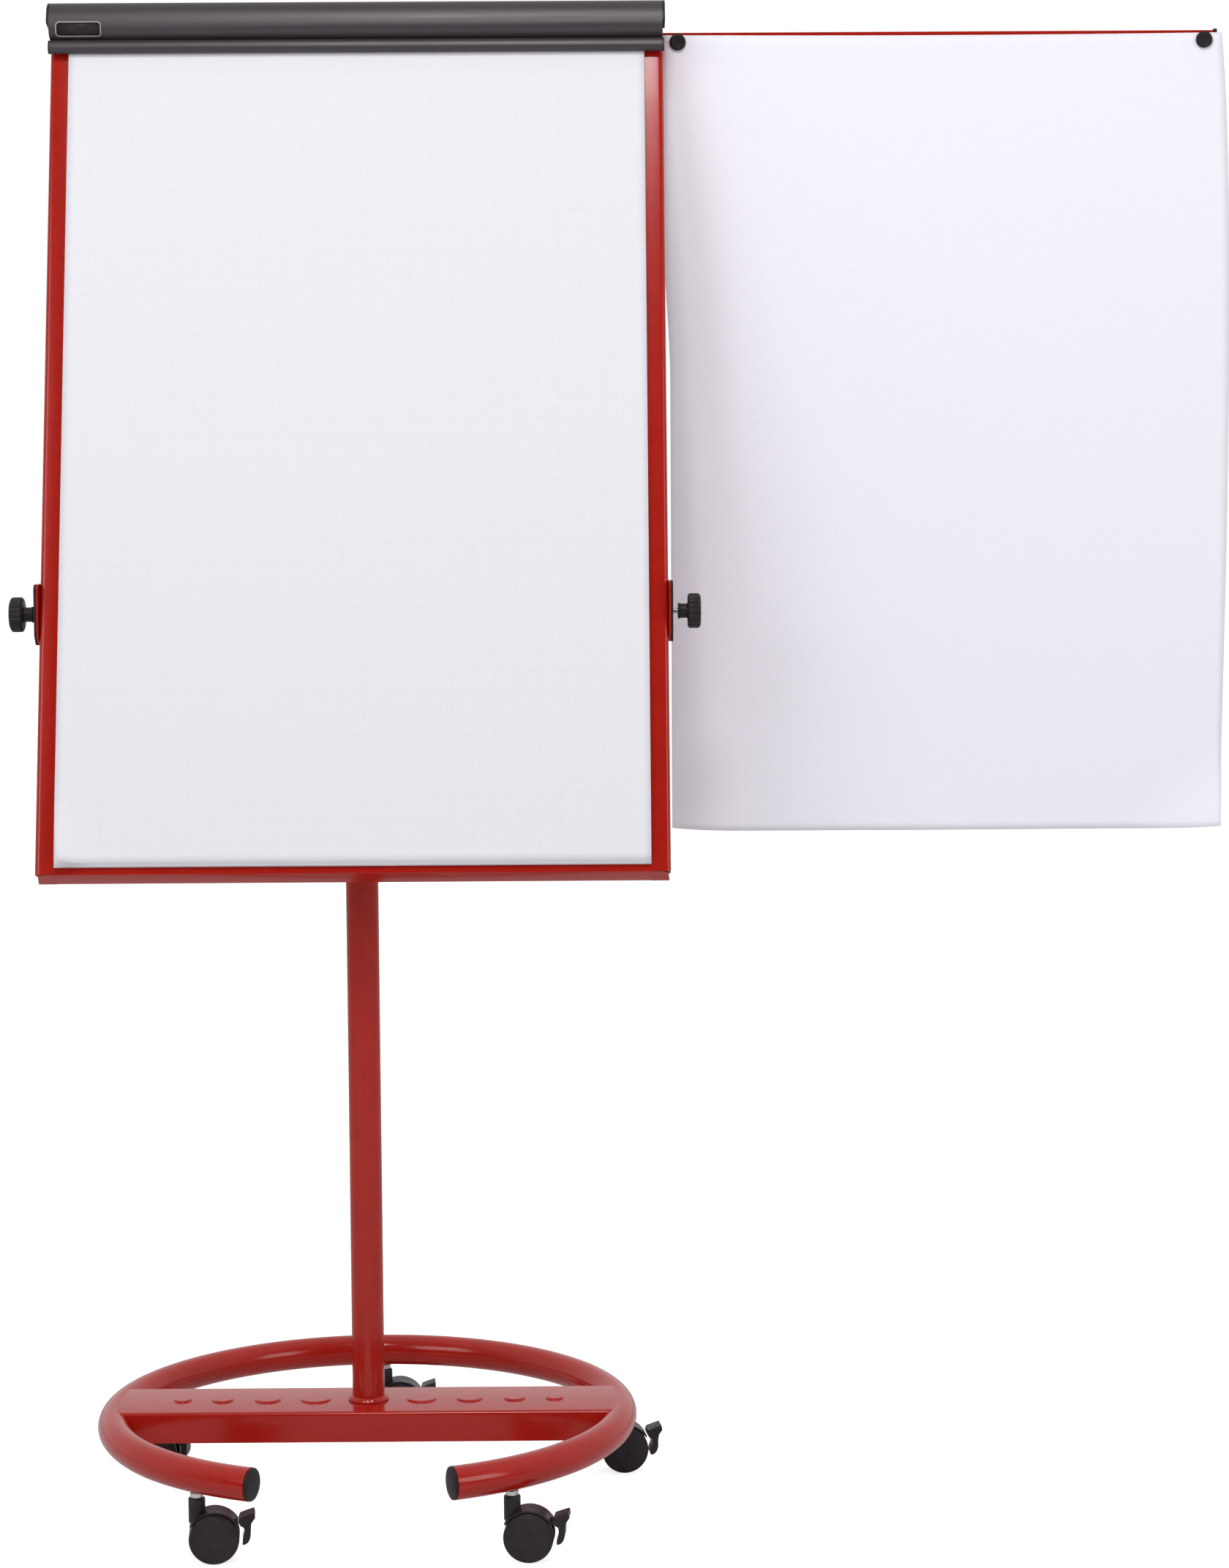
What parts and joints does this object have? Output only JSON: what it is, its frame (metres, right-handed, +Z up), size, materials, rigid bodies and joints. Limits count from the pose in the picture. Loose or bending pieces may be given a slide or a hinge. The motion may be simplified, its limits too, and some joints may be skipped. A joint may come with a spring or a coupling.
{
  "type": "flipchart easel",
  "caption": "Mobile flipchart easel with an open ring base on casters, a round mast, a tilting board with clamp bar and pad, and side arms holding a sheet.",
  "frame": {"origin": "on the floor, under the middle of the whole object's bounding box", "axes": "+Z up; the board's writing face looks to -Y; +X is to the right of a person who reads the board"},
  "size_m": [1.4364, 0.6216, 1.7796],
  "materials": {
    "red_paint": "glossy red powder coat",
    "anthracite_bar": "satin anthracite",
    "black_plastic": "satin black",
    "caster_plastic": "satin black-brown",
    "bright_steel": "zinc plated",
    "white_panel": "white coated",
    "paper": "uncoated paper"
  },
  "bodies": {
    "frame": {"base_ring": "red_paint", "ring_plug_left": "black_plastic", "ring_plug_right": "black_plastic", "base_channel": "red_paint", "mast": "red_paint", "yoke": "red_paint", "yoke_plate_left": "black_plastic", "yoke_plate_right": "black_plastic", "caster_stem_front_left": "bright_steel", "caster_stem_front_right": "bright_steel", "caster_stem_right": "bright_steel", "caster_stem_back": "bright_steel", "caster_stem_left": "bright_steel"},
    "slide_nuts": {"slide_nut_left": "bright_steel", "slide_nut_right": "bright_steel"},
    "board": {"board_panel": "white_panel", "board_rail_left": "red_paint", "board_rail_right": "red_paint", "board_rail_top": "red_paint", "board_rail_bottom": "red_paint", "clamp_hinge_rod": "bright_steel", "pad_pin_left": "bright_steel", "pad_pin_right": "bright_steel", "paper_pad": "paper", "arm_bracket_right": "red_paint", "arm_bracket_left": "red_paint"},
    "clamp": {"clamp_bar": "anthracite_bar", "clamp_end_cap_left": "black_plastic", "clamp_end_cap_right": "black_plastic"},
    "arm_right": {"side_arm_right": "red_paint", "arm_end_cap_right": "black_plastic", "hanging_sheet": "paper"},
    "arm_left": {"side_arm_left": "red_paint", "arm_end_cap_left": "black_plastic"},
    "magnet_inner": {"magnet_inner": "black_plastic"},
    "magnet_outer": {"magnet_outer": "black_plastic"},
    "knob_left": {"knob_left": "black_plastic", "knob_screw_left": "bright_steel"},
    "knob_right": {"knob_right": "black_plastic", "knob_screw_right": "bright_steel"},
    "caster_front_left": {"caster_housing_front_left": "caster_plastic"},
    "caster_wheel_front_front_left": {"caster_wheel_front_front_left": "caster_plastic"},
    "caster_wheel_back_front_left": {"caster_wheel_back_front_left": "caster_plastic"},
    "caster_lever_front_left": {"caster_lever_front_left": "caster_plastic"},
    "caster_front_right": {"caster_housing_front_right": "caster_plastic"},
    "caster_wheel_front_front_right": {"caster_wheel_front_front_right": "caster_plastic"},
    "caster_wheel_back_front_right": {"caster_wheel_back_front_right": "caster_plastic"},
    "caster_lever_front_right": {"caster_lever_front_right": "caster_plastic"},
    "caster_right": {"caster_housing_right": "caster_plastic"},
    "caster_wheel_front_right": {"caster_wheel_front_right": "caster_plastic"},
    "caster_wheel_back_right": {"caster_wheel_back_right": "caster_plastic"},
    "caster_lever_right": {"caster_lever_right": "caster_plastic"},
    "caster_back": {"caster_housing_back": "caster_plastic"},
    "caster_wheel_front_back": {"caster_wheel_front_back": "caster_plastic"},
    "caster_wheel_back_back": {"caster_wheel_back_back": "caster_plastic"},
    "caster_lever_back": {"caster_lever_back": "caster_plastic"},
    "caster_left": {"caster_housing_left": "caster_plastic"},
    "caster_wheel_front_left": {"caster_wheel_front_left": "caster_plastic"},
    "caster_wheel_back_left": {"caster_wheel_back_left": "caster_plastic"},
    "caster_lever_left": {"caster_lever_left": "caster_plastic"}
  },
  "joints": [
    {"name": "board_tilt", "type": "hinge", "parent": "frame", "child": "slide_nuts", "pos_m": [-0.3205, -0.07426, 1.063], "axis": [1, 0, 0], "range_deg": [-16, 13.9]},
    {"name": "board_height", "type": "slide", "parent": "slide_nuts", "child": "board", "axis": [0, 0.2407, 0.9706], "range_m": [-0.055, 0.25]},
    {"name": "clamp_lift", "type": "hinge", "parent": "board", "child": "clamp", "pos_m": [-0.3205, 0.08438, 1.77114], "axis": [-1, 0, 0], "range_deg": [0, 70]},
    {"name": "arm_swing_right", "type": "hinge", "parent": "board", "child": "arm_right", "pos_m": [0.0295, 0.12174, 1.7345], "axis": [0, 0, 1], "range_deg": [0, 180]},
    {"name": "arm_swing_left", "type": "hinge", "parent": "board", "child": "arm_left", "pos_m": [-0.6705, 0.12174, 1.7005], "axis": [0, 0, 1], "range_deg": [0, 180]},
    {"name": "magnet_pull_inner", "type": "slide", "parent": "arm_right", "child": "magnet_inner", "axis": [0, -1, 0], "range_m": [0, 0.03]},
    {"name": "magnet_pull_outer", "type": "slide", "parent": "arm_right", "child": "magnet_outer", "axis": [0, -1, 0], "range_m": [0, 0.03]},
    {"name": "knob_turn_left", "type": "hinge", "parent": "frame", "child": "knob_left", "pos_m": [-0.7005, -0.07426, 1.063], "axis": [-1, 0, 0], "continuous": true},
    {"name": "knob_turn_right", "type": "hinge", "parent": "frame", "child": "knob_right", "pos_m": [0.0595, -0.07426, 1.063], "axis": [1, 0, 0], "continuous": true},
    {"name": "caster_swivel_front_left", "type": "hinge", "parent": "frame", "child": "caster_front_left", "pos_m": [-0.49831, -0.25699, 0.06], "axis": [0, 0, 1], "continuous": true},
    {"name": "wheel_spin_front_front_left", "type": "hinge", "parent": "caster_front_left", "child": "caster_wheel_front_front_left", "pos_m": [-0.47938, -0.25533, 0.0285], "axis": [-0.0872, 0.9962, 0], "continuous": true},
    {"name": "wheel_spin_back_front_left", "type": "hinge", "parent": "caster_front_left", "child": "caster_wheel_back_front_left", "pos_m": [-0.47938, -0.25533, 0.0285], "axis": [-0.0872, 0.9962, 0], "continuous": true},
    {"name": "brake_lever_front_left", "type": "hinge", "parent": "caster_front_left", "child": "caster_lever_front_left", "pos_m": [-0.4485, -0.25263, 0.048], "axis": [-0.0872, 0.9962, 0], "range_deg": [0, 6]},
    {"name": "caster_swivel_front_right", "type": "hinge", "parent": "frame", "child": "caster_front_right", "pos_m": [-0.14269, -0.25699, 0.06], "axis": [0, 0, 1], "continuous": true},
    {"name": "wheel_spin_front_front_right", "type": "hinge", "parent": "caster_front_right", "child": "caster_wheel_front_front_right", "pos_m": [-0.12374, -0.25831, 0.0285], "axis": [0.0698, 0.9976, 0], "continuous": true},
    {"name": "wheel_spin_back_front_right", "type": "hinge", "parent": "caster_front_right", "child": "caster_wheel_back_front_right", "pos_m": [-0.12374, -0.25831, 0.0285], "axis": [0.0698, 0.9976, 0], "continuous": true},
    {"name": "brake_lever_front_right", "type": "hinge", "parent": "caster_front_right", "child": "caster_lever_front_right", "pos_m": [-0.09282, -0.26047, 0.048], "axis": [0.0698, 0.9976, 0], "range_deg": [0, 6]},
    {"name": "caster_swivel_right", "type": "hinge", "parent": "frame", "child": "caster_right", "pos_m": [-0.03281, 0.08122, 0.06], "axis": [0, 0, 1], "continuous": true},
    {"name": "wheel_spin_front_right", "type": "hinge", "parent": "caster_right", "child": "caster_wheel_front_right", "pos_m": [-0.01395, 0.08353, 0.0285], "axis": [-0.1219, 0.9925, 0], "continuous": true},
    {"name": "wheel_spin_back_right", "type": "hinge", "parent": "caster_right", "child": "caster_wheel_back_right", "pos_m": [-0.01395, 0.08353, 0.0285], "axis": [-0.1219, 0.9925, 0], "continuous": true},
    {"name": "brake_lever_right", "type": "hinge", "parent": "caster_right", "child": "caster_lever_right", "pos_m": [0.01682, 0.08731, 0.048], "axis": [-0.1219, 0.9925, 0], "range_deg": [0, 6]},
    {"name": "caster_swivel_back", "type": "hinge", "parent": "frame", "child": "caster_back", "pos_m": [-0.3205, 0.29024, 0.06], "axis": [0, 0, 1], "continuous": true},
    {"name": "wheel_spin_front_back", "type": "hinge", "parent": "caster_back", "child": "caster_wheel_front_back", "pos_m": [-0.30153, 0.29123, 0.0285], "axis": [-0.0523, 0.9986, 0], "continuous": true},
    {"name": "wheel_spin_back_back", "type": "hinge", "parent": "caster_back", "child": "caster_wheel_back_back", "pos_m": [-0.30153, 0.29123, 0.0285], "axis": [-0.0523, 0.9986, 0], "continuous": true},
    {"name": "brake_lever_back", "type": "hinge", "parent": "caster_back", "child": "caster_lever_back", "pos_m": [-0.27057, 0.29286, 0.048], "axis": [-0.0523, 0.9986, 0], "range_deg": [0, 6]},
    {"name": "caster_swivel_left", "type": "hinge", "parent": "frame", "child": "caster_left", "pos_m": [-0.60819, 0.08122, 0.06], "axis": [0, 0, 1], "continuous": true},
    {"name": "wheel_spin_front_left", "type": "hinge", "parent": "caster_left", "child": "caster_wheel_front_left", "pos_m": [-0.5893, 0.07923, 0.0285], "axis": [0.1045, 0.9945, 0], "continuous": true},
    {"name": "wheel_spin_back_left", "type": "hinge", "parent": "caster_left", "child": "caster_wheel_back_left", "pos_m": [-0.5893, 0.07923, 0.0285], "axis": [0.1045, 0.9945, 0], "continuous": true},
    {"name": "brake_lever_left", "type": "hinge", "parent": "caster_left", "child": "caster_lever_left", "pos_m": [-0.55847, 0.07599, 0.048], "axis": [0.1045, 0.9945, 0], "range_deg": [0, 6]}
  ]
}
